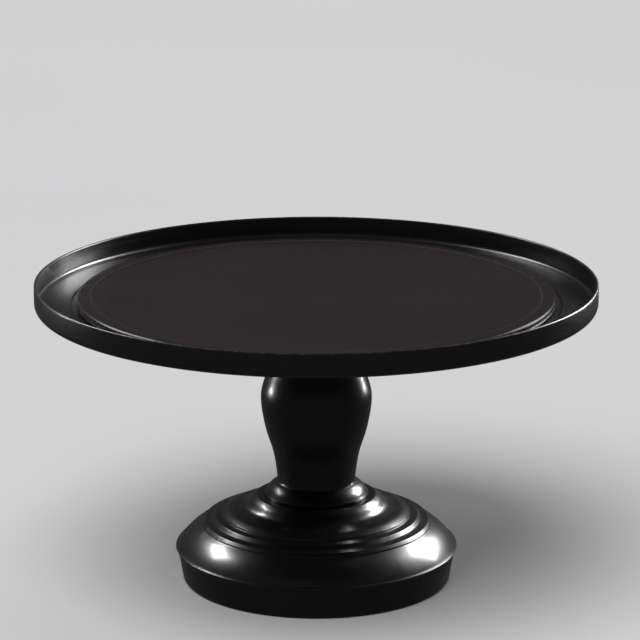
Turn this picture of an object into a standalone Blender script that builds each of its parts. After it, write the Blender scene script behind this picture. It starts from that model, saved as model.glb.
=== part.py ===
"""Cake turntable: a rimmed tray that spins on a turned pedestal, with a lift-off centre platter.

Run with: blender --background --python part.py
The Z axis is the axis of rotation, and z = 0 is the table. Sizes below are in millimetres.
"""

import math

import bmesh
import bpy
from mathutils import Vector

MM = 0.001
GAP = 0.3  # clearance drawn between parts that touch

# Driving dimensions
TRAY_DIAMETER = 305.0
TRAY_TOP = 168.3
TRAY_SHEET = 1.6
CHANNEL_FLOOR = 156.4  # top of the tray floor, between platter and rim
SEAT_FLOOR = 155.6  # top of the tray floor, under the platter
SEAT_RADIUS = 132.4
PLATTER_DIAMETER = 260.2
PLATTER_TOP = 161.0
PLATTER_BOTTOM = 156.4
BORDER_INNER = 122.0  # where the platter's raised border ends
BASE_LIP_RADIUS = 77.5
BASE_LIP_TOP = 18.7
BASE_BORE = 11.2
SKIRT_BOTTOM = 1.2
SKIRT_RADIUS = 73.6
CREASE_RADIUS = 63.2  # where the beaded dome meets the flared bell
CREASE_HEIGHT = 30.8
DECK_RADIUS = 33.0
DECK_TOP = 47.2  # flat top of the base, which carries the column
DECK_UNDERSIDE = 41.4
COLUMN_FOOT_RADIUS = 28.6
WAIST_RADIUS = 21.5
WAIST_HEIGHT = 58.0
BULGE_RADIUS = 30.3
BULGE_HEIGHT = 104.0
NECK_RADIUS = 23.0
NECK_HEIGHT = 127.5
COLLAR_RADIUS = 27.0
COLLAR_BOTTOM = 137.0
COLUMN_TOP = 146.0
COLUMN_BORE = 8.1
SPIGOT_RADIUS = 10.8  # turned end of the column, which fits the base's bore
SEAT_BORE = 19.2  # bearing seat in the column's top
SEAT_HEIGHT = 130.0
SPINDLE_RADIUS = 5.0
SPINDLE_BOTTOM = 56.0
BALL_RADIUS = 2.5
BALL_CIRCLE = 14.0
BALL_COUNT = 8
BALL_HEIGHT = 135.6

# Facets of the turned parts
LARGE, MEDIUM, SMALL = 48, 32, 20

# Name: (colour, roughness, metallic)
FINISHES = {
    "black_tray": ((0.012, 0.012, 0.013), 0.28, 0.0),
    "black_platter": ((0.020, 0.017, 0.021), 0.22, 0.0),
    "black_lacquer": ((0.008, 0.008, 0.009), 0.14, 0.0),
    "black_plate": ((0.020, 0.020, 0.021), 0.55, 0.0),
    "rubber": ((0.030, 0.030, 0.031), 0.80, 0.0),
    "silicone": ((0.110, 0.110, 0.115), 0.65, 0.0),
    "cast_hub": ((0.420, 0.420, 0.430), 0.45, 1.0),
    "steel": ((0.560, 0.560, 0.570), 0.25, 1.0),
    "bronze": ((0.600, 0.380, 0.170), 0.35, 1.0),
}


def clear_scene():
    for obj in list(bpy.data.objects):
        bpy.data.objects.remove(obj)


def new_collection(name):
    collection = bpy.data.collections.new(name)
    bpy.context.scene.collection.children.link(collection)
    return collection


def finish(name):
    material = bpy.data.materials.get(name)
    if material is None:
        colour, roughness, metallic = FINISHES[name]
        material = bpy.data.materials.new(name)
        material.use_nodes = True
        shader = material.node_tree.nodes["Principled BSDF"]
        shader.inputs["Base Color"].default_value = (*colour, 1.0)
        shader.inputs["Roughness"].default_value = roughness
        shader.inputs["Metallic"].default_value = metallic
    return material


def arc(centre_r, centre_z, radius, start, end, steps):
    """Points on an arc, with angles in degrees from the +r direction towards +z."""
    points = []
    for i in range(steps + 1):
        angle = math.radians(start + (end - start) * i / steps)
        points.append((centre_r + radius * math.cos(angle), centre_z + radius * math.sin(angle)))
    return points


def bowed(start, end, rise, steps):
    """Points from start to end on an arc that rises above the straight line between them."""
    chord = Vector(end) - Vector(start)
    radius = (chord.length**2 / 4 + rise**2) / (2 * rise)
    outward = Vector((-chord.y, chord.x)).normalized()
    centre = (Vector(start) + Vector(end)) / 2 - outward * (radius - rise)
    first, last = (math.degrees(math.atan2(*(Vector(p) - centre).yx)) for p in (start, end))
    return arc(*centre, radius, first, last, steps)


def flowing(points, per_span):
    """A Catmull-Rom curve through the points, for a profile with no corners."""
    knots = [Vector(p) for p in (points[0], *points, points[-1])]
    curve = []
    for a, b, c, d in zip(knots, knots[1:], knots[2:], knots[3:]):
        for i in range(per_span):
            t = i / per_span
            bend = (2 * a - 5 * b + 4 * c - d) * t**2 + (3 * b - a - 3 * c + d) * t**3
            curve.append(tuple(b + 0.5 * ((c - a) * t + bend)))
    return [*curve, points[-1]]


def tube_profile(inner, outer, bottom, top):
    return [(inner, top), (outer, top), (outer, bottom), (inner, bottom)]


def place(obj, axis_empty, material):
    obj.data.materials.append(finish(material))
    obj.parent = axis_empty
    PARTS.objects.link(obj)
    return obj


def turned(name, profile, segments, axis_empty, material, base=0.0, centre=(0.0, 0.0)):
    """A lathe part: the (radius, height) profile runs clockwise and is spun about its own Z axis.

    A profile that ends on the axis is left open there, and any other profile is closed into a loop.
    Heights are measured up from base.
    """
    mesh = bpy.data.meshes.new(name)
    points = [Vector((r * MM, 0, z * MM)) for r, z in profile]
    edges = [(i, i + 1) for i in range(len(points) - 1)]
    if profile[0][0] > 0:
        edges.append((len(points) - 1, 0))
    mesh.from_pydata(points, edges, [])
    obj = bpy.data.objects.new(name, mesh)
    obj.location = (centre[0] * MM, centre[1] * MM, base * MM)
    screw = obj.modifiers.new("Turn", "SCREW")
    screw.axis = "Z"
    screw.steps = segments
    screw.render_steps = segments
    screw.use_merge_vertices = True
    screw.merge_threshold = 1e-5
    screw.use_smooth_shade = True
    return place(obj, axis_empty, material)


def cylinder_mesh(name, radius, bottom, top, segments, top_radius=None):
    """A capped cylinder or cone on the Z axis, from bottom to top."""
    mesh = bpy.data.meshes.new(name)
    bm = bmesh.new()
    bmesh.ops.create_cone(
        bm,
        cap_ends=True,
        segments=segments,
        radius1=radius * MM,
        radius2=(radius if top_radius is None else top_radius) * MM,
        depth=(top - bottom) * MM,
    )
    bmesh.ops.translate(bm, verts=bm.verts, vec=(0, 0, (top + bottom) / 2 * MM))
    bm.to_mesh(mesh)
    bm.free()
    return mesh


def round_positions(count, circle, first=0.0):
    """(x, y, angle) of features spaced evenly on a circle about the Z axis."""
    for i in range(count):
        angle = math.radians(first) + 2 * math.pi * i / count
        yield circle * math.cos(angle), circle * math.sin(angle), angle


def combine(obj, mesh, operation, x=0.0, y=0.0, z=0.0, turn=0.0):
    """Cuts a helper out of obj, or joins it on. The helper's heights are measured from z."""
    helper = bpy.data.objects.new(f"{obj.name}_{operation.lower()}_{len(CUTTERS.objects)}", mesh)
    helper.location = (x * MM, y * MM, z * MM)
    helper.rotation_euler.z = turn
    helper.hide_render = True
    helper.display_type = "WIRE"
    CUTTERS.objects.link(helper)
    modifier = obj.modifiers.new(helper.name, "BOOLEAN")
    modifier.operation = operation
    modifier.object = helper
    modifier.solver = "EXACT"


def drill(obj, radius, bottom, top, positions, segments=12, top_radius=None):
    mesh = cylinder_mesh(f"{obj.name}_drill", radius, bottom, top, segments, top_radius)
    for x, y, angle in positions:
        combine(obj, mesh, "DIFFERENCE", x, y, turn=angle)


# Pedestal

COLUMN_SCREW_CIRCLE = 16.0
PLATE_SCREW_CIRCLE = 57.5
HUB_SCREW_CIRCLE = 34.0
HUB_TOP = 153.8
PLATE_RADIUS = 67.4
PLATE_BOTTOM = 4.2
PLATE_TOP = 5.7


def make_base(pedestal):
    deck = [(BASE_BORE, DECK_TOP), (DECK_RADIUS - 0.9, DECK_TOP)]
    shoulder = (DECK_RADIUS, DECK_TOP - 0.8)
    dome = flowing([shoulder, (35.4, 45.1), (38.6, 41.9), (42.4, 40.4), (47.4, 39.2), (51.2, 37.4)], 2)
    beads = [*bowed((51.9, 36.2), (57.3, 33.9), 0.8, 3), *bowed((57.9, 33.6), (63.0, 31.5), 0.8, 3)]
    bell = bowed((CREASE_RADIUS, CREASE_HEIGHT), (76.5, BASE_LIP_TOP), 1.1, 5)
    lip_and_skirt = [
        (BASE_LIP_RADIUS - 0.3, BASE_LIP_TOP),
        (BASE_LIP_RADIUS, 18.2),
        (BASE_LIP_RADIUS, 17.6),
        (76.3, 16.6),
        (SKIRT_RADIUS, SKIRT_BOTTOM),
    ]
    underside = [
        (68.4, SKIRT_BOTTOM),
        (68.4, 6.2),
        (65.0, 6.2),
        (70.0, 14.0),
        (69.4, 19.0),
        (60.0, 27.6),
        (48.0, 34.0),
        (36.0, 39.6),
        (32.0, DECK_UNDERSIDE),
        (BASE_BORE, DECK_UNDERSIDE),
    ]
    profile = [*deck, *dome, *beads, *bell, *lip_and_skirt, *underside]
    base = turned("base_shell", profile, MEDIUM, pedestal, "black_lacquer")
    boss = cylinder_mesh("boss", 4.2, 6.2, 31.0, 12)
    for x, y, angle in round_positions(3, PLATE_SCREW_CIRCLE, 30):
        combine(base, boss, "UNION", x, y, turn=angle)
    drill(base, 1.7, 5.0, 18.0, round_positions(3, PLATE_SCREW_CIRCLE, 30))
    drill(base, 2.9, DECK_UNDERSIDE - 2, DECK_TOP + 2, round_positions(3, COLUMN_SCREW_CIRCLE, 90))


def make_column(pedestal):
    baluster = flowing(
        [
            (NECK_RADIUS, NECK_HEIGHT),
            (26.2, 118.5),
            (BULGE_RADIUS, BULGE_HEIGHT),
            (28.2, 87.0),
            (23.6, 71.5),
            (WAIST_RADIUS, WAIST_HEIGHT),
            (21.8, 54.9),
        ],
        3,
    )
    collar_round = 2.0
    collar_side = COLLAR_RADIUS - collar_round
    collar = [
        (SEAT_BORE, COLUMN_TOP),
        *arc(collar_side, COLUMN_TOP - collar_round, collar_round, 90, 0, 3),
        *arc(collar_side, COLLAR_BOTTOM, collar_round, 0, -60, 2),
        (23.6, 132.6),
    ]
    foot = DECK_TOP + GAP
    spigot_bottom = DECK_UNDERSIDE + 0.4
    flare_end = (COLUMN_FOOT_RADIUS - 0.5, foot + 1.5)
    foot_flare = [*bowed((22.4, 54.6), flare_end, 0.6, 4), (COLUMN_FOOT_RADIUS, foot + 0.9)]
    spigot_and_bores = [
        (COLUMN_FOOT_RADIUS - 0.3, foot),
        (SPIGOT_RADIUS, foot),
        (SPIGOT_RADIUS, spigot_bottom),
        (COLUMN_BORE, spigot_bottom),
        (COLUMN_BORE, SEAT_HEIGHT),
        (SEAT_BORE, SEAT_HEIGHT),
    ]
    profile = [*collar, *baluster, *foot_flare, *spigot_and_bores]
    column = turned("column", profile, MEDIUM, pedestal, "black_lacquer")
    drill(column, 2.6, 44.0, 60.0, round_positions(3, COLUMN_SCREW_CIRCLE, 90))


def make_column_fasteners(pedestal):
    washer_bottom, washer_top = DECK_UNDERSIDE - 1.0 - GAP, DECK_UNDERSIDE - GAP
    head_top = washer_bottom - GAP
    head_bottom, tip = head_top - 5.0, 58.0
    shank = [(0, tip), (1.8, tip), (2.3, tip - 0.6), (2.3, head_top)]
    head = [(4.1, head_top), (4.1, head_bottom), (0, head_bottom)]
    washer = tube_profile(2.6, 4.9, washer_bottom, washer_top)
    for i, (x, y, _) in enumerate(round_positions(3, COLUMN_SCREW_CIRCLE, 90), 1):
        screw = turned(f"column_screw_{i}", [*shank, *head], 16, pedestal, "steel", centre=(x, y))
        socket = cylinder_mesh("hex_socket", 2.3, head_bottom - 1, head_bottom + 2.8, 6)
        combine(screw, socket, "DIFFERENCE", x, y)
        turned(f"column_washer_{i}", washer, 16, pedestal, "steel", centre=(x, y))


def make_underside(pedestal):
    plate = turned(
        "bottom_plate",
        [(0, PLATE_TOP), (PLATE_RADIUS, PLATE_TOP), (PLATE_RADIUS, PLATE_BOTTOM), (0, PLATE_BOTTOM)],
        MEDIUM,
        pedestal,
        "black_plate",
    )
    drill(plate, 1.8, 3.0, 7.0, round_positions(3, PLATE_SCREW_CIRCLE, 30))
    top = PLATE_BOTTOM - GAP
    inner, outer, chamfer = 61.6, 67.0, 0.9
    sole = [(outer, chamfer), (outer - chamfer, 0), (inner + chamfer, 0), (inner, chamfer)]
    foot = [(inner, top), (outer, top), *sole]
    turned("foot_ring", foot, MEDIUM, pedestal, "rubber")
    shank_and_head = [(0, 14.0), (1.4, 13.0), (1.4, top), (3.1, top), (3.1, 2.9), (2.2, 2.2), (0, 2.2)]
    for i, (x, y, _) in enumerate(round_positions(3, PLATE_SCREW_CIRCLE, 30), 1):
        screw = turned(f"plate_screw_{i}", shank_and_head, 12, pedestal, "steel", centre=(x, y))
        combine(screw, cylinder_mesh("hex_socket", 1.3, 1.5, 3.2, 6), "DIFFERENCE", x, y)


# Bearing and spindle


def make_fixed_bearing_parts(pedestal):
    turned("lower_bush", tube_profile(5.15, 7.8, 63.1, 76.0), SMALL, pedestal, "bronze")
    turned("upper_bush", tube_profile(5.15, 7.8, 116.0, 128.0), SMALL, pedestal, "bronze")
    turned("lower_race", tube_profile(8.6, 18.8, SEAT_HEIGHT + GAP, 133.0), SMALL, pedestal, "steel")
    inner, outer, bottom = 18.2, 24.0, COLUMN_TOP + GAP
    seal = [(inner, 148.6), (19.4, 148.6), (outer, 147.2), (outer, bottom), (inner, bottom)]
    turned("dust_seal", seal, SMALL, pedestal, "rubber")


def make_ball_cage(orbit):
    cage = turned("ball_cage", tube_profile(10.4, 17.6, 134.8, 136.4), 32, orbit, "bronze")
    drill(cage, BALL_RADIUS + GAP, 134.0, 137.2, round_positions(BALL_COUNT, BALL_CIRCLE, 4))
    for i, (x, y, _) in enumerate(round_positions(BALL_COUNT, BALL_CIRCLE, 4), 1):
        mesh = bpy.data.meshes.new("ball")
        bm = bmesh.new()
        bmesh.ops.create_uvsphere(bm, u_segments=10, v_segments=6, radius=BALL_RADIUS * MM)
        bm.to_mesh(mesh)
        bm.free()
        mesh.shade_smooth()
        ball = bpy.data.objects.new(f"ball_{i}", mesh)
        ball.location = (x * MM, y * MM, BALL_HEIGHT * MM)
        place(ball, orbit, "steel")


def make_spindle(spin):
    head_radius, head_bottom = 12.0, 151.4
    groove_radius, groove_bottom, groove_top = 3.9, 60.2, 61.6
    profile = [
        (0, HUB_TOP),
        (head_radius, HUB_TOP),
        (head_radius, head_bottom),
        (SPINDLE_RADIUS, head_bottom),
        (SPINDLE_RADIUS, groove_top),
        (groove_radius, groove_top),
        (groove_radius, groove_bottom),
        (SPINDLE_RADIUS, groove_bottom),
        (SPINDLE_RADIUS, SPINDLE_BOTTOM + 0.7),
        (SPINDLE_RADIUS - 0.7, SPINDLE_BOTTOM),
        (0, SPINDLE_BOTTOM),
    ]
    turned("spindle", profile, SMALL, spin, "steel")
    turned("upper_race", tube_profile(5.3, 18.4, 138.2, 140.9), SMALL, spin, "steel")
    turned("thrust_shim", tube_profile(5.3, 7.6, 61.9, 62.8), SMALL, spin, "steel")
    clip = turned("retaining_clip", tube_profile(4.2, 7.2, 60.5, 61.3), SMALL, spin, "steel")
    mouth = bpy.data.meshes.new("clip_mouth")
    bm = bmesh.new()
    bmesh.ops.create_cube(bm, size=1.0)
    bmesh.ops.scale(bm, verts=bm.verts, vec=(10 * MM, 7 * MM, 4 * MM))
    bm.to_mesh(mouth)
    bm.free()
    combine(clip, mouth, "DIFFERENCE", x=7.0, z=60.9)


# Tray and platter


def make_hub(spin):
    radius, neck, bore = 45.0, 17.4, 5.3
    bottom, flange_under = 141.2, 150.0
    recess, recess_floor = 12.4, 151.1  # holds the spindle's head
    profile = [
        (recess, HUB_TOP),
        (radius - 1.0, HUB_TOP),
        (radius, HUB_TOP - 1.0),
        (radius, flange_under + 0.8),
        (radius - 2.0, flange_under),
        (neck + 1.6, flange_under - 0.9),
        (neck, flange_under - 0.9),
        (neck, bottom),
        (bore, bottom),
        (bore, recess_floor),
        (recess, recess_floor),
    ]
    hub = turned("hub_flange", profile, MEDIUM, spin, "cast_hub")
    drill(hub, 1.8, 148.0, 155.0, round_positions(4, HUB_SCREW_CIRCLE, 45))
    head_top = SEAT_FLOOR - 0.1
    countersunk = [(0, head_top), (3.2, head_top), (1.5, head_top - 1.5), (1.5, 151.0), (0, 150.4)]
    for i, (x, y, _) in enumerate(round_positions(4, HUB_SCREW_CIRCLE, 45), 1):
        screw = turned(f"hub_screw_{i}", countersunk, 12, spin, "steel", centre=(x, y))
        combine(screw, cylinder_mesh("hex_socket", 1.2, 154.6, 156.5, 6), "DIFFERENCE", x, y)


def make_tray(spin):
    radius = TRAY_DIAMETER / 2
    inner = radius - TRAY_SHEET
    underside = CHANNEL_FLOOR - 1.5
    rim_round = TRAY_SHEET / 2
    rim_centre = TRAY_TOP - rim_round
    inner_fillet, outer_fillet = 2.6, 3.6
    profile = [
        (0, SEAT_FLOOR),
        (SEAT_RADIUS, SEAT_FLOOR),
        (SEAT_RADIUS + 1.0, CHANNEL_FLOOR),
        *arc(inner - inner_fillet, CHANNEL_FLOOR + inner_fillet, inner_fillet, -90, 0, 3),
        *arc(radius - rim_round, rim_centre, rim_round, 180, 0, 4),
        *arc(radius - outer_fillet, underside + outer_fillet, outer_fillet, 0, -90, 4),
        (SEAT_RADIUS + 1.4, underside),
        (SEAT_RADIUS + 0.4, SEAT_FLOOR - 1.5),
        (0, SEAT_FLOOR - 1.5),
    ]
    tray = turned("tray", profile, LARGE, spin, "black_tray")
    countersink_bottom, countersink_top = SEAT_FLOOR - 1.7, SEAT_FLOOR + 0.2
    for x, y, angle in round_positions(4, HUB_SCREW_CIRCLE, 45):
        cone = cylinder_mesh("countersink", 1.8, countersink_bottom, countersink_top, 12, 3.9)
        combine(tray, cone, "DIFFERENCE", x, y, turn=angle)


def make_platter(lift):
    half = (PLATTER_TOP - PLATTER_BOTTOM) / 2
    edge_centre = PLATTER_DIAMETER / 2 - half
    grip_inner, grip_outer, grip_depth = 104.0, 112.0, 1.3
    profile = [
        (0, PLATTER_TOP - 0.6),
        (BORDER_INNER - 0.9, PLATTER_TOP - 0.6),
        (BORDER_INNER, PLATTER_TOP),
        *arc(edge_centre, PLATTER_BOTTOM + half, half, 90, -90, 8),
        (grip_outer, PLATTER_BOTTOM),
        (grip_outer, PLATTER_BOTTOM + grip_depth),
        (grip_inner, PLATTER_BOTTOM + grip_depth),
        (grip_inner, PLATTER_BOTTOM),
        (0, PLATTER_BOTTOM),
    ]
    turned("platter", profile, LARGE, lift, "black_platter")
    grip_bottom, grip_top = SEAT_FLOOR + 0.2, PLATTER_BOTTOM + grip_depth - GAP
    grip = tube_profile(grip_inner + 0.4, grip_outer - 0.4, grip_bottom, grip_top)
    turned("grip_ring", grip, LARGE, lift, "silicone")


def new_axis(name, parent=None):
    """An empty on the turntable's axis, which the parts of one moving body are parented to."""
    empty = bpy.data.objects.new(name, None)
    empty.parent = parent
    PARTS.objects.link(empty)
    return empty


clear_scene()
PARTS = new_collection("cake_turntable")
CUTTERS = new_collection("cutters")

pedestal_axis = new_axis("pedestal_axis")
cage_axis = new_axis("cage_axis", pedestal_axis)
spin_axis = new_axis("spin_axis", pedestal_axis)
lift_axis = new_axis("lift_axis", spin_axis)

make_base(pedestal_axis)
make_column(pedestal_axis)
make_column_fasteners(pedestal_axis)
make_underside(pedestal_axis)
make_fixed_bearing_parts(pedestal_axis)
make_ball_cage(cage_axis)
make_spindle(spin_axis)
make_hub(spin_axis)
make_tray(spin_axis)
make_platter(lift_axis)
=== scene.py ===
import math

import bmesh
import bpy
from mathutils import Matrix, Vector


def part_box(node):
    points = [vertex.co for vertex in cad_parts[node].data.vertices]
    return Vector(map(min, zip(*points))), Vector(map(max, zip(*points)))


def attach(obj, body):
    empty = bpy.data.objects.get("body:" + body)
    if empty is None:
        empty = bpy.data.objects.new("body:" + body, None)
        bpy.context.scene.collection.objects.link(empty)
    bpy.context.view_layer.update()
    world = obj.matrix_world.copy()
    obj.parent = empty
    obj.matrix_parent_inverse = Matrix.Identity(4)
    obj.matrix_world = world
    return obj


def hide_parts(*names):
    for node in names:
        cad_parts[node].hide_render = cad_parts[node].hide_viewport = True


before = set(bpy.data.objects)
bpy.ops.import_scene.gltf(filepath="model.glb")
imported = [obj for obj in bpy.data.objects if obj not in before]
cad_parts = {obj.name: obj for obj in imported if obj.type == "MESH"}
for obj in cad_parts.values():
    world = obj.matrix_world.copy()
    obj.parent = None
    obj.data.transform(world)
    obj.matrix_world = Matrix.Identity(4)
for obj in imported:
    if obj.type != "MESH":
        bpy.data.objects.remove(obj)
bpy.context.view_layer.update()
mm = 0.001
print("frame loaded with", len(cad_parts), "nodes")


# Node trees written as plain arithmetic

class Signal:
    def __init__(self, graph, socket):
        self.graph, self.socket = graph, socket

    def __add__(self, other):
        return self.graph.maths("ADD", self, other)

    def __sub__(self, other):
        return self.graph.maths("SUBTRACT", self, other)

    def __rsub__(self, other):
        return self.graph.maths("SUBTRACT", other, self)

    def __mul__(self, other):
        return self.graph.maths("MULTIPLY", self, other)

    def __truediv__(self, other):
        return self.graph.maths("DIVIDE", self, other)

    def __rtruediv__(self, other):
        return self.graph.maths("DIVIDE", other, self)

    def __mod__(self, other):
        return self.graph.maths("FLOORED_MODULO", self, other)

    __radd__ = __add__
    __rmul__ = __mul__

    def beside(self, name):  # another output of the same node
        return Signal(self.graph, self.socket.node.outputs[name])


class Graph:
    def __init__(self, tree):
        self.tree = tree

    def node(self, kind, settings=None, inputs=None, output=0):
        made = self.tree.nodes.new(kind)
        for key, value in (settings or {}).items():
            setattr(made, key, value)
        for key, value in (inputs or {}).items():
            self.feed(made.inputs[key], value)
        return Signal(self, made.outputs[output])

    def feed(self, socket, value):
        if isinstance(value, Signal):
            self.tree.links.new(value.socket, socket)
        else:
            socket.default_value = value

    def maths(self, operation, *values):
        return self.node("ShaderNodeMath", {"operation": operation}, dict(enumerate(values)))


# Outlines of turned parts: lists of (radius, height) in millimetres

def bow(start, end, rise, steps):
    # an arc that rises above the straight line from start to end
    start, end = Vector(start), Vector(end)
    chord = end - start
    radius = (chord.length**2 / 4 + rise**2) / (2 * rise)
    outward = Vector((-chord.y, chord.x)).normalized()
    centre = (start + end) / 2 - outward * (radius - rise)
    first, last = (math.atan2(*(p - centre).yx) for p in (start, end))
    angles = [first + (last - first) * i / steps for i in range(steps + 1)]
    return [(centre.x + radius * math.cos(a), centre.y + radius * math.sin(a)) for a in angles]


def arc(centre, radius, first, last, steps):
    angles = [math.radians(first + (last - first) * i / steps) for i in range(steps + 1)]
    return [(centre[0] + radius * math.cos(a), centre[1] + radius * math.sin(a)) for a in angles]


def flow(points, steps):
    # a Catmull-Rom curve through the points
    knots = [Vector(p) for p in (points[0], *points, points[-1])]
    curve = []
    for a, b, c, d in zip(knots, knots[1:], knots[2:], knots[3:]):
        for i in range(steps):
            t = i / steps
            bend = (2 * a - 5 * b + 4 * c - d) * t**2 + (3 * b - a - 3 * c + d) * t**3
            curve.append(tuple(b + 0.5 * ((c - a) * t + bend)))
    return [*curve, tuple(points[-1])]


def soften(points, radius, closed=True, steps=4):
    # rounds every corner sharper than sharpest, and holds the long flats beside it
    sharpest, widest, longFlat, holdAt = math.radians(14), 0.4, 5, 1.7
    made = []
    for i, point in enumerate(points):
        here = Vector(point)
        back, ahead = Vector(points[i - 1]) - here, Vector(points[(i + 1) % len(points)]) - here
        atEnd = not closed and i in (0, len(points) - 1)
        turn = 0 if atEnd else math.pi - back.angle(ahead)
        if turn < sharpest:
            made.append(tuple(here))
            continue
        reach = min(radius * math.tan(turn / 2), widest * back.length, widest * ahead.length)
        start, end = here + back.normalized() * reach, here + ahead.normalized() * reach
        if back.length > longFlat * reach:
            made.append(tuple(here + back.normalized() * reach * holdAt))
        for k in range(steps + 1):
            made.append(tuple(start.lerp(here, k / steps).lerp(here.lerp(end, k / steps), k / steps)))
        if ahead.length > longFlat * reach:
            made.append(tuple(here + ahead.normalized() * reach * holdAt))
    return made


# Geometry Nodes: one tree turns an outline about Z, and one sets copies round a circle

def newTree(name, sockets):
    tree = bpy.data.node_groups.new(name, "GeometryNodeTree")
    tree.interface.new_socket("Geometry", in_out="OUTPUT", socket_type="NodeSocketGeometry")
    for label, kind in {"Geometry": "Geometry", **sockets, "Finish": "Material"}.items():
        tree.interface.new_socket(label, in_out="INPUT", socket_type="NodeSocket" + kind)
    graph = Graph(tree)
    given = graph.node("NodeGroupInput")
    return graph, given


def endTree(graph, given, geometry):
    plain = graph.node("GeometryNodeRealizeInstances", inputs={"Geometry": geometry})
    painted = graph.node(
        "GeometryNodeSetMaterial", inputs={"Geometry": plain, "Material": given.beside("Finish")}
    )
    last = graph.tree.nodes.new("NodeGroupOutput")
    graph.feed(last.inputs["Geometry"], painted)
    return graph.tree


def makeTurningTree():
    graph, given = newTree("turnOutline", {"Segments": "Int", "Weld": "Float"})
    outline, segments = given.beside("Geometry"), given.beside("Segments")
    rows = graph.node("GeometryNodeAttributeDomainSize", inputs={"Geometry": outline}, output="Point Count")
    sheet = graph.node(
        "GeometryNodeMeshGrid",
        inputs={"Size X": 1.0, "Size Y": 1.0, "Vertices X": segments + 1, "Vertices Y": rows},
    )
    index = graph.node("GeometryNodeInputIndex")
    row = index % rows
    angle = graph.maths("FLOOR", (index + 0.5) / rows) * (2 * math.pi) / segments

    def sampled(kind, value):
        settings = {"data_type": kind, "domain": "POINT"}
        inputs = {"Geometry": outline, "Value": value, "Index": row}
        return graph.node("GeometryNodeSampleIndex", settings, inputs)

    place = sampled("FLOAT_VECTOR", graph.node("GeometryNodeInputPosition"))
    place = graph.node("ShaderNodeSeparateXYZ", inputs={"Vector": place})
    share = graph.node("GeometryNodeInputNamedAttribute", {"data_type": "FLOAT"}, {"Name": "hexShare"})
    hexShare = sampled("FLOAT", share)
    sixth = angle % (math.pi / 3) - math.pi / 6
    hexagon = math.cos(math.pi / 6) / graph.maths("COSINE", sixth)  # 1 at a corner, less along a flat
    radius = place.beside("X") * (1 + hexShare * (hexagon - 1))
    turned = graph.node(
        "ShaderNodeCombineXYZ",
        inputs={
            "X": radius * graph.maths("COSINE", angle),
            "Y": radius * graph.maths("SINE", angle),
            "Z": place.beside("Z"),
        },
    )
    moved = graph.node("GeometryNodeSetPosition", inputs={"Geometry": sheet, "Position": turned})
    closed = graph.node(
        "GeometryNodeMergeByDistance", inputs={"Geometry": moved, "Distance": given.beside("Weld")}
    )
    return endTree(graph, given, closed)


def makeRingTree():
    sockets = {
        "Count": "Int", "Circle": "Float", "First": "Float", "Height": "Float", "Flip": "Float",
        "Seed": "Int",
    }
    graph, given = newTree("ringOfCopies", sockets)
    circle = graph.node(
        "GeometryNodeMeshCircle", inputs={"Vertices": given.beside("Count"), "Radius": given.beside("Circle")}
    )
    lifted = graph.node("ShaderNodeCombineXYZ", inputs={"Z": given.beside("Height")})
    started = graph.node("ShaderNodeCombineXYZ", inputs={"Z": given.beside("First")})
    points = graph.node(
        "GeometryNodeTransform", inputs={"Geometry": circle, "Translation": lifted, "Rotation": started}
    )
    turn = graph.node(
        "FunctionNodeRandomValue",
        {"data_type": "FLOAT"},
        {"Min": 0.0, "Max": 2 * math.pi, "Seed": given.beside("Seed")},
        output="Value",
    )
    tilt = graph.node("ShaderNodeCombineXYZ", inputs={"X": given.beside("Flip"), "Z": turn})
    copies = graph.node(
        "GeometryNodeInstanceOnPoints",
        inputs={"Points": points, "Instance": given.beside("Geometry"), "Rotation": tilt},
    )
    return endTree(graph, given, copies)


turningTree, ringTree = makeTurningTree(), makeRingTree()
print("node trees ready")


def evaluated(source, name, tree, values):
    # runs the tree on source and keeps the result as a plain mesh
    modifier = source.modifiers.new(tree.name, "NODES")
    modifier.node_group = tree
    sockets = {s.name: s.identifier for s in tree.interface.items_tree if s.in_out == "INPUT"}
    for label, value in values.items():
        modifier[sockets[label]] = value
    view = bpy.context.evaluated_depsgraph_get()
    mesh = bpy.data.meshes.new_from_object(source.evaluated_get(view), depsgraph=view)
    bpy.data.objects.remove(source)
    mesh.name = name
    return mesh


def faceOut(mesh, sharp=40):
    shell = bmesh.new()
    shell.from_mesh(mesh)
    bmesh.ops.recalc_face_normals(shell, faces=shell.faces)
    shell.to_mesh(mesh)
    shell.free()
    mesh.shade_smooth()
    mesh.set_sharp_from_angle(angle=math.radians(sharp))
    return mesh


def newObject(name, content):
    made = bpy.data.objects.new(name, content)
    bpy.context.scene.collection.objects.link(made)
    return made


def turned(name, outline, finish, segments=192, closed=True, hexShares=None):
    points = [*outline, outline[0]] if closed else outline
    mesh = bpy.data.meshes.new(name)
    links = [(i, i + 1) for i in range(len(points) - 1)]
    mesh.from_pydata([(r * mm, 0, z * mm) for r, z in points], links, [])
    shares = mesh.attributes.new("hexShare", "FLOAT", "POINT")
    shares.data.foreach_set("value", hexShares or [0.0] * len(points))
    values = {"Segments": segments, "Weld": 1e-6, "Finish": finish}
    return faceOut(evaluated(newObject(name, mesh), name, turningTree, values))


madePieces = []


def fit(name, mesh, body, slot, *nodes):
    piece = newObject(name, mesh)
    madePieces.append(piece)
    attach(piece, body)
    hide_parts(*nodes)
    print("made", name, len(mesh.polygons), "faces")
    return piece


# Finishes

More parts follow.
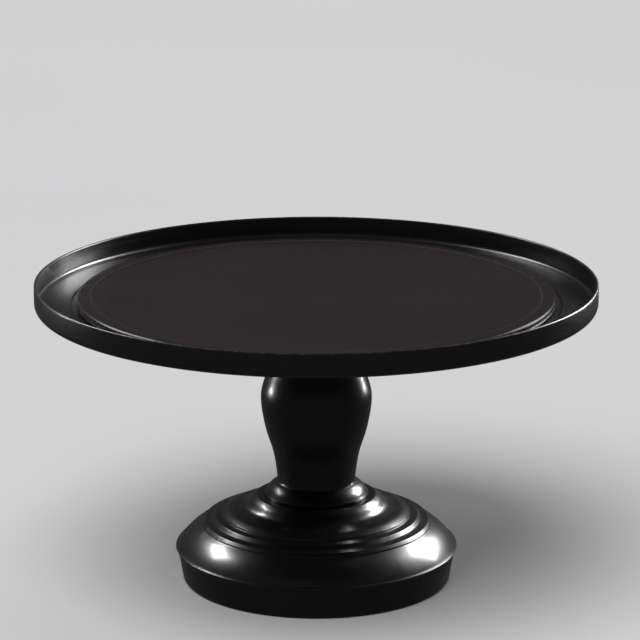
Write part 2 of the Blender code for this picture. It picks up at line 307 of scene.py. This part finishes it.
class Finish(Graph):
    def __init__(self, name):
        self.material = bpy.data.materials.new(name)
        self.material.use_nodes = True
        super().__init__(self.material.node_tree)
        self.shader = self.tree.nodes["Principled BSDF"]
        self.place = self.node("ShaderNodeTexCoord", output="Object")
        axes = self.node("ShaderNodeSeparateXYZ", inputs={"Vector": self.place})
        self.x, self.y, self.z = axes, axes.beside("Y"), axes.beside("Z")
        self.radius = self.maths("SQRT", self.x * self.x + self.y * self.y + 1e-9)
        normal = self.node("ShaderNodeNewGeometry", output="Normal")
        self.up = self.node("ShaderNodeSeparateXYZ", inputs={"Vector": normal}, output="Z")

    def set(self, **values):
        for label, value in values.items():
            self.feed(self.shader.inputs[label.replace("_", " ")], value)

    def noise(self, scale, detail=2.0, where=None):
        inputs = {"Vector": where or self.place, "Scale": scale, "Detail": detail, "Roughness": 0.5}
        return self.node("ShaderNodeTexNoise", inputs=inputs)

    def ramped(self, value, low, high):  # 0 below low, 1 above high, smooth between
        inputs = {"Value": value, "From Min": low, "From Max": high}
        return self.node("ShaderNodeMapRange", {"interpolation_type": "SMOOTHSTEP"}, inputs)

    def near(self, value, centre, width):  # 1 at centre, 0 at width away
        return 1 - self.ramped(self.maths("ABSOLUTE", value - centre), 0.0, width)

    def mixed(self, share, first, second):
        inputs = {0: share, 6: first, 7: second}
        return self.node("ShaderNodeMix", {"data_type": "RGBA"}, inputs, output=2)

    def around(self, stretch, across):
        # a place that runs slowly round the axis and fast across it, for marks left by turning and wiping
        ring = {"X": self.x / self.radius * stretch, "Y": self.y / self.radius * stretch}
        return self.node("ShaderNodeCombineXYZ", inputs={**ring, "Z": (self.radius + self.z) * across})

    def strokes(self, angle, along, across, low, high):
        # short straight marks in one direction
        settings = {"vector_type": "POINT"}
        inputs = {"Vector": self.place, "Rotation": (0, 0, math.radians(angle)), "Scale": (along, across, 1)}
        lines = self.noise(1.0, 1.0, self.node("ShaderNodeMapping", settings, inputs))
        return self.ramped(lines, low, high)

    def bump(self, height, distance, under=None):
        inputs = {"Height": height, "Distance": distance, "Strength": 1.0}
        if under is not None:
            inputs["Normal"] = under
        return self.node("ShaderNodeBump", inputs=inputs)


def grey(value):
    return (value, value, value, 1.0)


# the two values between which each kind of mark comes in or fades out
marks = {
    "wipe": (0.56, 0.70), "level": (0.55, 0.95), "speck": (0.05, 0.16), "bigSpeck": (0.55, 0.75),
    "film": (0.35, 0.8), "wearAndHighlight": (0.42, 0.66), "cutPatch": (0.45, 0.62), "cut": (0.66, 0.72),
    "stain": (0.45, 0.75), "pit": (0.10, 0.30), "lint": (0.06, 0.15), "lintPatch": (0.55, 0.7),
    "bloom": (0.4, 0.75),
}
knifeCuts = {"angles": (24, 71, 133), "along": 9.0, "across": 900.0, "patchScale": 14.0}


def makeLacquer(name, look):
    paint = Finish(name)
    cloud = paint.noise(look["cloudScale"], 3.0)
    wiped = paint.ramped(paint.noise(1.0, 2.0, paint.around(5.0, look["wipeScale"])), *marks["wipe"])
    level = paint.ramped(paint.up, *marks["level"])  # 1 where the surface faces up
    specks = paint.node("ShaderNodeTexVoronoi", inputs={"Vector": paint.place, "Scale": look["speckScale"]})
    speckSize = paint.noise(260.0, 1.0)
    specks = (1 - paint.ramped(specks, *marks["speck"])) * paint.ramped(speckSize, *marks["bigSpeck"])
    dust = level * (specks * look["speckDust"] + paint.ramped(cloud, *marks["film"]) * look["filmDust"])
    colour = paint.mixed(dust, look["colour"], look["dustColour"])
    wornAndHighlit = 0.0
    # edges lightened by real wear, and at the platter's border by a painted highlight line
    for place, centre, width, wearAndHighlight, evenness in look["edges"]:
        patchy = evenness + (1 - evenness) * paint.ramped(paint.noise(420.0, 3.0), *marks["wearAndHighlight"])
        wornAndHighlit = wornAndHighlit + paint.near(getattr(paint, place), centre, width) * patchy * wearAndHighlight
    colour = paint.mixed(wornAndHighlit, colour, look["wearAndHighlightColour"])
    roughness = look["roughness"] + cloud * look["cloudRoughness"] + wiped * look["wipeRoughness"]
    roughness = roughness + dust * look["dustRoughness"] + level * look["levelRoughness"]
    roughness = roughness + wornAndHighlit * look["wearAndHighlightRoughness"]
    if look["knife"]:
        patches = paint.ramped(paint.noise(knifeCuts["patchScale"], 2.0), *marks["cutPatch"])
        cuts = 0.0
        for angle in knifeCuts["angles"]:
            cuts = cuts + paint.strokes(angle, knifeCuts["along"], knifeCuts["across"], *marks["cut"])
        cuts = cuts * patches * level
        roughness = roughness + cuts * look["knife"]
        colour = paint.mixed(cuts * 0.5 * look["knife"], colour, look["wearAndHighlightColour"])
    peel = paint.noise(look["peelScale"], 1.0)
    fine = paint.noise(1.0, 1.0, paint.around(3.0, look["wipeScale"] * 2.4))
    skin = paint.bump(peel, look["peelDepth"], under=paint.bump(fine, look["fineDepth"]))
    paint.set(Base_Color=colour, Roughness=roughness, Normal=skin, IOR=1.5)
    paint.set(Coat_Weight=look["coat"], Coat_Roughness=look["coatRoughness"])
    return paint.material


# an edge is measured along radius or z: its centre, its width, how strongly it is lightened (by wear, and at
# the platter's border by a painted highlight), and how evenly
pedestalLook = {
    "colour": (0.0036, 0.0036, 0.0042, 1), "dustColour": grey(0.10), "wearAndHighlightColour": grey(0.05),
    "roughness": 0.25, "levelRoughness": 0.0, "dustRoughness": 0.5, "wearAndHighlightRoughness": 0.12, "knife": 0.0,
    "cloudScale": 9.0, "cloudRoughness": 0.05,
    "wipeScale": 520.0, "wipeRoughness": 0.05, "speckScale": 520.0, "speckDust": 0.10, "filmDust": 0.03,
    "peelScale": 330.0, "peelDepth": 0.00002, "fineDepth": 0.000003,
    "edges": [("radius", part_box("base_shell")[1].x, 0.0009, 0.05, 0.5)],
    "coat": 0.25, "coatRoughness": 0.12,
}
trayLook = {
    **pedestalLook, "colour": (0.0048, 0.0048, 0.0054, 1), "levelRoughness": 0.02, "cloudScale": 7.0,
    "edges": [("z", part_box("tray")[1].z, 0.0009, 0.6, 0.1)],
    "speckDust": 0.14, "filmDust": 0.04, "peelScale": 260.0, "coat": 0.12,
}
platterLook = {
    # the platter's own colour is near black; its lilac tint is a painted reflection of the cake standing on
    # it
    **trayLook, "colour": (0.0140, 0.0085, 0.0112, 1), "wearAndHighlightColour": (0.075, 0.068, 0.080, 1),
    "roughness": 0.24, "levelRoughness": 0.0, "cloudScale": 11.0, "wipeScale": 1500.0,
    "edges": [
        ("radius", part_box("platter")[1].x - 0.0004, 0.0016, 0.14, 0.3),
        # the border's inner edge is painted lighter as a highlight line, not worn
        ("radius", 0.1221, 0.0007, 0.55, 0.6),  # the inner edge of the border
    ],
    "knife": 0.10, "coat": 0.20,
}
pedestalLacquer = makeLacquer("pedestalLacquer", pedestalLook)
trayEnamel = makeLacquer("trayEnamel", trayLook)
platterEnamel = makeLacquer("platterEnamel", platterLook)


def makeMetal(name, look):
    metal = Finish(name)
    cloud = metal.noise(look["cloudScale"], 3.0)
    rings = metal.noise(1.0, 2.0, metal.around(1.5, look["ringScale"]))
    stain = metal.ramped(cloud, *marks["stain"]) * look["stain"]
    colour = metal.mixed(stain, look["colour"], look["stainColour"])
    pits = metal.node("ShaderNodeTexVoronoi", inputs={"Vector": metal.place, "Scale": look["pitScale"]})
    pits = 1 - metal.ramped(pits, *marks["pit"])
    roughness = look["roughness"] + rings * look["ringRoughness"] + stain * look["stainRoughness"]
    roughness = roughness + pits * look["pitRoughness"]
    rough = metal.bump(pits * -1.0, look["pitDepth"], under=metal.bump(rings, look["ringDepth"]))
    metal.set(Base_Color=colour, Roughness=roughness, Metallic=1.0, Normal=rough)
    return metal.material


castLook = {
    "colour": (0.36, 0.36, 0.37, 1), "stainColour": (0.20, 0.20, 0.21, 1), "stain": 0.6,
    "stainRoughness": 0.25, "cloudScale": 40.0,
    "ringScale": 1500.0, "ringRoughness": 0.16, "ringDepth": 0.00003,
    "pitScale": 700.0, "pitRoughness": 0.10, "pitDepth": 0.00004, "roughness": 0.34,
}
steelLook = {
    **castLook, "colour": (0.55, 0.55, 0.56, 1), "stainColour": (0.42, 0.40, 0.36, 1), "stain": 0.35,
    "ringScale": 4200.0, "ringRoughness": 0.14, "ringDepth": 0.000008, "pitRoughness": 0.0, "pitDepth": 0.0,
    "roughness": 0.20,
}
bearingLook = {**steelLook, "roughness": 0.08, "stain": 0.15, "ringRoughness": 0.08}
screwLook = {**steelLook, "colour": (0.50, 0.51, 0.53, 1), "stainColour": (0.42, 0.38, 0.28, 1), "stain": 0.5}
bronzeLook = {
    **castLook, "colour": (0.58, 0.36, 0.15, 1), "stainColour": (0.32, 0.20, 0.10, 1), "ringScale": 2600.0,
    "pitScale": 1800.0, "pitDepth": 0.00003, "roughness": 0.30,
}
castHub = makeMetal("castHub", castLook)
turnedSteel = makeMetal("turnedSteel", steelLook)
bearingSteel = makeMetal("bearingSteel", bearingLook)
platedScrew = makeMetal("platedScrew", screwLook)
oiledBronze = makeMetal("oiledBronze", bronzeLook)


def makeRubber(name, look):
    rubber = Finish(name)
    cloud = rubber.noise(30.0, 4.0)
    grain = rubber.noise(look["grainScale"], 2.0)
    lint = rubber.node("ShaderNodeTexVoronoi", inputs={"Vector": rubber.place, "Scale": 480.0})
    lint = (1 - rubber.ramped(lint, *marks["lint"])) * rubber.ramped(rubber.noise(180.0), *marks["lintPatch"])
    bloom = rubber.ramped(cloud, *marks["bloom"]) * look["bloom"] + lint * look["lint"]
    rubber.set(
        Base_Color=rubber.mixed(bloom, look["colour"], look["bloomColour"]),
        Roughness=look["roughness"] + cloud * 0.15 - grain * 0.05,
        Normal=rubber.bump(grain, look["grainDepth"]),
    )
    return rubber.material


rubberLook = {
    "colour": (0.022, 0.022, 0.023, 1), "bloomColour": (0.14, 0.135, 0.13, 1), "bloom": 0.25, "lint": 0.35,
    "grainScale": 1600.0, "grainDepth": 0.00004, "roughness": 0.62,
}
siliconeLook = {
    **rubberLook, "colour": (0.105, 0.105, 0.112, 1), "bloomColour": (0.30, 0.30, 0.30, 1), "roughness": 0.42,
}
powderLook = {
    **rubberLook, "colour": (0.018, 0.018, 0.019, 1), "grainScale": 900.0, "grainDepth": 0.00012,
    "bloom": 0.12, "lint": 0.15, "roughness": 0.48,
}
footRubber = makeRubber("footRubber", rubberLook)
gripSilicone = makeRubber("gripSilicone", siliconeLook)
powderCoat = makeRubber("powderCoat", powderLook)
print("finishes ready")


# Pedestal

def span(node):  # (outer radius, bottom, top) of a round part, in millimetres
    low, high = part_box(node)
    return max(high.x, high.y) / mm, low.z / mm, high.z / mm


lipRadius, skirtBottom, deckTop = span("base_shell")
base = {
    "bore": 11.2, "deckThickness": 5.8, "deckEdge": (32.1, 32.9), "deckEdgeDrop": 0.25,
    "shoulder": [(35.3, 45.25), (38.6, 41.9), (42.4, 40.4), (47.4, 39.2), (51.2, 37.4)],
    "rings": [((51.9, 36.3), (55.8, 35.5), (57.4, 33.8)), ((57.9, 33.6), (61.6, 32.9), (63.1, 31.4))],
    "ringRound": 0.7,
    "crease": (63.2, 30.7), "bellEnd": (76.5, 18.8), "bellRise": 1.1,
    "lipInset": 0.3, "lipTop": 18.6, "lipMiddle": 18.15, "lipRound": 0.45,
    "skirtTop": (76.3, 16.7), "skirtRadius": 73.6,
    "hollow": [
        (68.4, 6.2), (65.0, 6.2), (70.0, 14.0), (69.4, 19.0), (60.0, 27.6), (48.0, 34.0), (36.0, 39.6)
    ],
    "ceilingRadius": 32.0, "rounding": 0.35,
}
deckUnder = deckTop - base["deckThickness"]
deckFlat, deckBrow = base["deckEdge"]
deck = [(base["bore"], deckTop), (deckFlat, deckTop)]
dome = flow([(deckBrow, deckTop - base["deckEdgeDrop"]), *base["shoulder"]], 8)
rings = []
for start, brow, end in base["rings"]:  # a nearly level tread, a rounded brow and a steep drop
    rings += soften([start, brow, end], base["ringRound"], closed=False, steps=8)
bell = bow(base["crease"], base["bellEnd"], base["bellRise"], 24)
lipEdge = arc((lipRadius - base["lipRound"], base["lipMiddle"]), base["lipRound"], 60, -60, 6)
lip = [(lipRadius - base["lipInset"], base["lipTop"]), *lipEdge]
skirt = [base["skirtTop"], (base["skirtRadius"], skirtBottom)]
hollow = [
    (base["hollow"][0][0], skirtBottom), *base["hollow"], (base["ceilingRadius"], deckUnder),
    (base["bore"], deckUnder),
]
baseOutline = soften([*deck, *dome, *rings, *bell, *lip, *skirt, *hollow], base["rounding"])
baseMesh = turned("turnedBase", baseOutline, pedestalLacquer, 224)
fit("turnedBase", baseMesh, "pedestal", "pedestal_lacquer", "base_shell")

spigotBottom, columnTop = span("column")[1:]
column = {
    "neck": (23.0, 127.5), "vase": [(26.2, 118.5), (30.3, 104.0), (28.2, 87.0), (23.6, 71.5)],
    "waist": [(21.5, 58.0), (21.8, 54.9)], "footTop": (22.4, 54.6), "flareRise": 0.6,
    "foot": [(28.1, 1.8), (28.6, 1.2), (28.3, 0.05)],  # radius, and height above the deck
    "collarRadius": 27.0, "collarRound": 2.0, "collarBottom": 137.0, "collarUnder": (23.6, 132.6),
    "seatBore": 19.2, "seatHeight": 130.0, "bore": 8.1, "spigot": 10.8, "rounding": 0.4,
}
collarRound = column["collarRound"]
collarSide = column["collarRadius"] - collarRound
collar = [
    *arc((collarSide, columnTop - collarRound), collarRound, 90, 0, 8),
    *arc((collarSide, column["collarBottom"]), collarRound, 0, -60, 6),
    column["collarUnder"],
]
vase = flow([column["neck"], *column["vase"], *column["waist"]], 12)
flareEnd, *foot = [(radius, deckTop + rise) for radius, rise in column["foot"]]
flare = bow(column["footTop"], flareEnd, column["flareRise"], 10)
spigot = [(column["spigot"], foot[-1][1]), (column["spigot"], spigotBottom), (column["bore"], spigotBottom)]
bearingSeat = [
    (column["bore"], column["seatHeight"]), (column["seatBore"], column["seatHeight"]),
    (column["seatBore"], columnTop),
]
columnOutline = soften([*collar, *vase, *flare, *foot, *spigot, *bearingSeat], column["rounding"])
columnMesh = turned("turnedColumn", columnOutline, pedestalLacquer, 160)
fit("turnedColumn", columnMesh, "pedestal", "pedestal_lacquer", "column")


def tube(inner, outer, bottom, top):
    return [(inner, top), (outer, top), (outer, bottom), (inner, bottom)]


plateRadius, plateBottom, plateTop = span("bottom_plate")
plateCorners = [(0, plateTop), (plateRadius, plateTop), (plateRadius, plateBottom), (0, plateBottom)]
plateOutline = soften(plateCorners, 0.4, closed=False)
plateMesh = turned("bottomPlate", plateOutline, powderCoat, 160, closed=False)
fit("bottomPlate", plateMesh, "pedestal", "bottom_plate_paint", "bottom_plate")

footOuter, footBottom, footTop = span("foot_ring")
footRing = {
    "width": 5.4, "grooves": 2, "grooveHalf": 0.4, "grooveDepth": 0.35, "chamfer": 0.9, "rounding": 0.5,
}
footInner, chamfer = footOuter - footRing["width"], footRing["chamfer"]
tread = []
for i in range(footRing["grooves"]):
    middle = footOuter - footRing["width"] * (i + 1) / (footRing["grooves"] + 1)
    tread += [
        (middle + footRing["grooveHalf"], footBottom), (middle, footBottom + footRing["grooveDepth"]),
        (middle - footRing["grooveHalf"], footBottom),
    ]
footOutline = soften(
    [
        (footInner, footTop), (footOuter, footTop), (footOuter, footBottom + chamfer),
        (footOuter - chamfer, footBottom), *tread, (footInner + chamfer, footBottom),
        (footInner, footBottom + chamfer),
    ],
    footRing["rounding"],
)
footMesh = turned("rubberFoot", footOutline, footRubber, 160)
fit("rubberFoot", footMesh, "pedestal", "foot_rubber", "foot_ring")

sealOuter, sealBottom, sealTop = span("dust_seal")
dustSeal = {"inner": 18.2, "lip": 19.4, "slope": 1.4, "rounding": 0.4}
sealShape = [
    (dustSeal["inner"], sealTop), (dustSeal["lip"], sealTop), (sealOuter, sealTop - dustSeal["slope"]),
    (sealOuter, sealBottom), (dustSeal["inner"], sealBottom),
]
sealMesh = turned("dustSeal", soften(sealShape, dustSeal["rounding"]), footRubber, 128)
fit("dustSeal", sealMesh, "pedestal", "seal_rubber", "dust_seal")


# Screws, washers and balls, each kind made once and set round its circle

screwEdges = {"crown": 0.25, "capSide": 0.35, "capFoot": 0.1, "mouth": 0.15, "tip": 0.4}


def screwMesh(name, screw, finish):
    # the outline of a socket screw, with its head's top at height 0
    head, shank, length = screw["head"], screw["shank"], screw["length"]
    socket, depth = screw["socket"], screw["socketDepth"]
    crown, mouth, tip = screwEdges["crown"], screwEdges["mouth"], screwEdges["tip"]
    if screw["countersunk"]:
        drop = head - shank
        side = [(head, -crown)]
    else:
        drop, capFoot = screw["headHeight"], screwEdges["capFoot"]
        side = [(head, -screwEdges["capSide"]), (head, capFoot - drop), (head - capFoot, -drop)]
    points = [
        (0, -depth), (socket, -depth), (socket, -mouth), (socket + mouth, 0), (head - crown, 0), *side,
        (shank, -drop), (shank, tip - length), (shank - tip, -length), (0, -length),
    ]
    hexShares = [1.0, 1.0, 1.0, 0.5] + [0.0] * (len(points) - 4)  # only the socket is a hexagon
    return turned(name, points, finish, 48, closed=False, hexShares=hexShares)


def placeOf(node):
    low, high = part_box(node)
    middle = (low + high) / 2
    return math.hypot(middle.x, middle.y), math.atan2(middle.y, middle.x)


def ring(name, mesh, finish, count, node, height, flip=0.0, seed=1):
    circle, first = placeOf(node)
    source = newObject(name, mesh)
    values = {"Count": count, "Circle": circle, "First": first, "Height": height, "Flip": flip, "Seed": seed}
    return evaluated(source, name, ringTree, {**values, "Finish": finish})


def numbered(stem, count):
    return [f"{stem}_{i}" for i in range(1, count + 1)]


plateScrew = {
    "head": 3.1, "headHeight": 1.7, "shank": 1.4, "length": 11.6, "socket": 1.45, "socketDepth": 1.0,
    "countersunk": False,
}
hubScrew = {
    "head": 3.2, "shank": 1.5, "length": 5.0, "socket": 1.35, "socketDepth": 0.9, "countersunk": True,
}
columnScrew = {
    "head": 4.1, "headHeight": 5.0, "shank": 2.3, "length": 23.0, "socket": 2.4, "socketDepth": 2.8,
    "countersunk": False,
}
screwSets = [
    ("plateScrews", plateScrew, 3, "plate_screw", "pedestal", True),
    ("columnScrews", columnScrew, 3, "column_screw", "pedestal", True),
    ("hubScrews", hubScrew, 4, "hub_screw", "turntable", False),
]
for seed, (name, screw, count, stem, body, facesDown) in enumerate(screwSets, 3):
    low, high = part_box(stem + "_1")
    mesh = screwMesh(name, screw, platedScrew)
    height, flip = (low.z, math.pi) if facesDown else (high.z, 0.0)
    mesh = ring(name, mesh, platedScrew, count, stem + "_1", height, flip, seed)
    fit(name, mesh, body, "screw_steel", *numbered(stem, count))

washer = {"bore": 2.6, "rounding": 0.15}
washerLow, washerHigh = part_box("column_washer_1")
washerOuter, washerThickness = (washerHigh - washerLow).x / 2 / mm, (washerHigh - washerLow).z / mm
washerShape = soften(tube(washer["bore"], washerOuter, 0, washerThickness), washer["rounding"])
washerMesh = turned("columnWashers", washerShape, platedScrew, 48)
washers = ring("columnWashers", washerMesh, platedScrew, 3, "column_washer_1", washerLow.z)
fit("columnWashers", washers, "pedestal", "screw_steel", *numbered("column_washer", 3))

ballLow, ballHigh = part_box("ball_1")
ballShell = bmesh.new()
bmesh.ops.create_uvsphere(ballShell, u_segments=28, v_segments=16, radius=(ballHigh.z - ballLow.z) / 2)
ballMesh = bpy.data.meshes.new("bearingBalls")
ballShell.to_mesh(ballMesh)
ballShell.free()
ballMesh.shade_smooth()
ballCount = 8
balls = ring("bearingBalls", ballMesh, bearingSteel, ballCount, "ball_1", (ballLow.z + ballHigh.z) / 2)
fit("bearingBalls", balls, "bearing_cage", "bearing_steel", *numbered("ball", ballCount))


# Tray, hub and platter

trayRadius, _, trayTop = span("tray")
tray = {
    "sheet": 1.6, "channelFloor": 156.4, "seatFloor": 155.6, "seatRadius": 132.4, "midRings": (28, 40),
    "innerRound": 2.6, "outerRound": 3.6, "floorThickness": 1.5, "rounding": 0.5,
    "stepAbove": 1.0, "stepUnder": (1.4, 0.4),  # how far outside the seat its step ends
}
wall = trayRadius - tray["sheet"]
rimRound, innerRound, outerRound = tray["sheet"] / 2, tray["innerRound"], tray["outerRound"]
channelFloor, seatFloor = tray["channelFloor"], tray["seatFloor"]
channelUnder, seatUnder = channelFloor - tray["floorThickness"], seatFloor - tray["floorThickness"]
midIn, midOut = tray["midRings"]
seatRadius, (stepOut, stepIn) = tray["seatRadius"], tray["stepUnder"]
inside = arc((wall - innerRound, channelFloor + innerRound), innerRound, -90, 0, 12)
rim = arc((trayRadius - rimRound, trayTop - rimRound), rimRound, 180, 0, 14)
outside = arc((trayRadius - outerRound, channelUnder + outerRound), outerRound, 0, -90, 12)
seat = [
    (0, seatFloor), (midIn, seatFloor), (midOut, seatFloor), (seatRadius, seatFloor),
    (seatRadius + tray["stepAbove"], channelFloor),
]
under = [
    (seatRadius + stepOut, channelUnder), (seatRadius + stepIn, seatUnder), (midOut, seatUnder),
    (midIn, seatUnder), (0, seatUnder),
]
trayOutline = soften([*seat, *inside, *rim, *outside, *under], tray["rounding"], closed=False)
trayMesh = turned("rimmedTray", trayOutline, trayEnamel, 256, closed=False)

countersink = {"mouth": 0.2, "coneEnd": -1.7, "bottom": -1.9, "narrow": 1.8, "wide": 3.9}
coneShape = [
    (0, countersink["mouth"]), (countersink["wide"], countersink["mouth"]),
    (countersink["narrow"], countersink["coneEnd"]), (countersink["narrow"], countersink["bottom"]),
    (0, countersink["bottom"]),
]
cones = turned("countersinks", coneShape, trayEnamel, 48, closed=False)
cones = ring("countersinks", cones, trayEnamel, 4, "hub_screw_1", seatFloor * mm)
cutter, trayBlank = newObject("countersinks", cones), newObject("trayBlank", trayMesh)
cut = trayBlank.modifiers.new("countersink", "BOOLEAN")
cut.object, cut.operation, cut.solver = cutter, "DIFFERENCE", "EXACT"
view = bpy.context.evaluated_depsgraph_get()
trayMesh = bpy.data.meshes.new_from_object(trayBlank.evaluated_get(view), depsgraph=view)
for used in (cutter, trayBlank):
    bpy.data.objects.remove(used)
trayMesh.shade_smooth()
trayMesh.set_sharp_from_angle(angle=math.radians(35))
trayPiece = fit("rimmedTray", trayMesh, "turntable", "tray_lacquer", "tray")

hubRadius, hubBottom, hubTop = span("hub_flange")
hub = {
    "neck": 17.4, "bore": 5.3, "recess": 12.4, "recessFloor": 151.1, "flangeUnder": 150.0, "neckTop": 149.1,
    "chamfer": 1.0, "underRun": 2.0, "underRise": 0.8, "neckRun": 1.6, "rounding": 0.5,
}
hubOutline = soften(
    [
        (hub["recess"], hubTop), (hubRadius - hub["chamfer"], hubTop), (hubRadius, hubTop - hub["chamfer"]),
        (hubRadius, hub["flangeUnder"] + hub["underRise"]), (hubRadius - hub["underRun"], hub["flangeUnder"]),
        (hub["neck"] + hub["neckRun"], hub["neckTop"]), (hub["neck"], hub["neckTop"]),
        (hub["neck"], hubBottom), (hub["bore"], hubBottom), (hub["bore"], hub["recessFloor"]),
        (hub["recess"], hub["recessFloor"]),
    ],
    hub["rounding"],
)
hubMesh = turned("castFlange", hubOutline, castHub, 160)
fit("castFlange", hubMesh, "turntable", "cast_hub", "hub_flange")

platterRadius, platterBottom, platterTop = span("platter")
platter = {
    "borderInner": 122.0, "step": 0.6, "stepRun": 0.9, "rounding": 0.2,
    "gripInner": 104.0, "gripOuter": 112.0, "gripDepth": 1.3, "gripGap": 0.4, "gripRounding": 0.5,
}
half = (platterTop - platterBottom) / 2
bullnose = arc((platterRadius - half, platterBottom + half), half, 90, -90, 24)
borderInner, centreTop = platter["borderInner"], platterTop - platter["step"]
grooveIn, grooveOut = platter["gripInner"], platter["gripOuter"]
grooveTop = platterBottom + platter["gripDepth"]
platterOutline = soften(
    [
        (0, centreTop), (borderInner - platter["stepRun"], centreTop), (borderInner, platterTop), *bullnose,
        (grooveOut, platterBottom), (grooveOut, grooveTop), (grooveIn, grooveTop), (grooveIn, platterBottom),
        (0, platterBottom),
    ],
    platter["rounding"],
    closed=False,
)
platterMesh = turned("liftOffPlatter", platterOutline, platterEnamel, 256, closed=False)
platterPiece = fit("liftOffPlatter", platterMesh, "platter", "platter_enamel", "platter")

gripOuter, gripBottom, gripHigh = span("grip_ring")
gripTube = tube(grooveIn + platter["gripGap"], gripOuter, gripBottom, gripHigh)
gripMesh = turned("gripRing", soften(gripTube, platter["gripRounding"]), gripSilicone, 192)
gripPiece = fit("gripRing", gripMesh, "platter", "grip_silicone", "grip_ring")
platterPieces = [platterPiece, gripPiece]

# What stays hidden in the column keeps its own solid, with its metal
innerMetals = {
    "lower_bush": oiledBronze, "upper_bush": oiledBronze, "ball_cage": oiledBronze,
    "lower_race": bearingSteel, "upper_race": bearingSteel,
    "spindle": turnedSteel, "thrust_shim": turnedSteel, "retaining_clip": turnedSteel,
}
for node, metal in innerMetals.items():
    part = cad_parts[node]
    part.data.materials.clear()
    part.data.materials.append(metal)
print("pieces ready")


# Floor, lights and camera

floorLook = {"halfSide": 14.0, "tones": ((0.66, 0.66, 0.67, 1), (0.72, 0.72, 0.73, 1)), "roughness": 0.75}
floorMesh = bpy.data.meshes.new("floor")
floorShell = bmesh.new()
bmesh.ops.create_grid(floorShell, x_segments=1, y_segments=1, size=floorLook["halfSide"])
floorShell.to_mesh(floorMesh)
floorShell.free()
floor = newObject("floor", floorMesh)
floorPaint = Finish("floorPaint")
floorTone = floorPaint.mixed(floorPaint.noise(1.2, 2.0), *floorLook["tones"])
floorPaint.set(Base_Color=floorTone, Roughness=floorLook["roughness"])
floorMesh.materials.append(floorPaint.material)
floor.visible_glossy = False  # keeps the black lacquer black above a pale floor

studioGrey = (0.06, 0.06, 0.062, 1)
world = bpy.data.worlds.new("studio")
world.use_nodes = True
world.node_tree.nodes["Background"].inputs["Color"].default_value = studioGrey
bpy.context.scene.world = world


def toward(azimuth, elevation):  # azimuth 0 is in front, and 90 is to the right
    a, e = math.radians(azimuth), math.radians(elevation)
    return Vector((math.sin(a) * math.cos(e), -math.cos(a) * math.cos(e), math.sin(e)))


# the softboxes make the highlights, and the two suns light the floor and whatever is matt
# the tray and platter would mirror a strong box whole, so weaker ones of the same shape shine on them
softboxes = [
    {
        "name": "leftHigh", "azimuth": -125, "elevation": 43, "size": (0.34, 0.34),
        "onStand": 11.0, "onTray": 5.0, "onPlatter": 2.0,
    },
    {
        "name": "rightHigh", "azimuth": 130, "elevation": 30, "size": (0.38, 0.38),
        "onStand": 14.5, "onTray": 13.0, "onPlatter": 1.6,
    },
    {
        "name": "leftLow", "azimuth": -110, "elevation": 5.5, "size": (0.11, 0.05),
        "onStand": 1.5, "onTray": 1.5, "onPlatter": 0.5,
    },
    {
        "name": "rightLow", "azimuth": 124, "elevation": 4, "size": (0.11, 0.05),
        "onStand": 1.2, "onTray": 1.2, "onPlatter": 1.2,
    },
]
suns = [
    {"name": "keySun", "azimuth": -25, "elevation": 60, "strength": 2.5, "spread": 50},
    {"name": "fillSun", "azimuth": 160, "elevation": 50, "strength": 1.0, "spread": 90},
]
lampDistance, lampTarget = 0.95, Vector((0, 0, 0.06))
shownNodes = [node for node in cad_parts.values() if not node.hide_render]
receivers = {share: bpy.data.collections.new(share) for share in ("onStand", "onTray", "onPlatter")}
for piece in [*madePieces, *shownNodes]:
    share = "onPlatter" if piece in platterPieces else "onTray" if piece == trayPiece else "onStand"
    receivers[share].objects.link(piece)
for box in softboxes:
    for share, lightsUp in receivers.items():
        lamp = bpy.data.lights.new(box["name"], "AREA")
        lamp.shape = "RECTANGLE"
        lamp.size, lamp.size_y = box["size"]
        lamp.energy = box[share]
        holder = newObject(box["name"], lamp)
        way = toward(box["azimuth"], box["elevation"])
        holder.location = lampTarget + way * lampDistance
        holder.rotation_euler = (-way).to_track_quat("-Z", "Y").to_euler()
        holder.visible_diffuse = False
        holder.light_linking.receiver_collection = lightsUp
for sun in suns:
    lamp = bpy.data.lights.new(sun["name"], "SUN")
    lamp.energy, lamp.angle = sun["strength"], math.radians(sun["spread"])
    holder = newObject(sun["name"], lamp)
    way = toward(sun["azimuth"], sun["elevation"])
    holder.rotation_euler = (-way).to_track_quat("-Z", "Y").to_euler()
    holder.visible_glossy = False

camera = {
    "elevation": 16.6, "away": 1.8, "pivot": (0, 0, 0.085), "aim": (0.002, 0, 0.1456), "lens": 184.8,
    "sensor": 36,
}
lens = bpy.data.cameras.new("camera")
lens.sensor_width, lens.lens = camera["sensor"], camera["lens"]
viewer = newObject("camera", lens)
viewer.location = Vector(camera["pivot"]) + toward(0, camera["elevation"]) * camera["away"]
viewer.rotation_euler = (Vector(camera["aim"]) - viewer.location).to_track_quat("-Z", "Y").to_euler()
bpy.context.scene.camera = viewer
bpy.context.scene.view_settings.view_transform = "Standard"
print("floor, lights and camera ready")
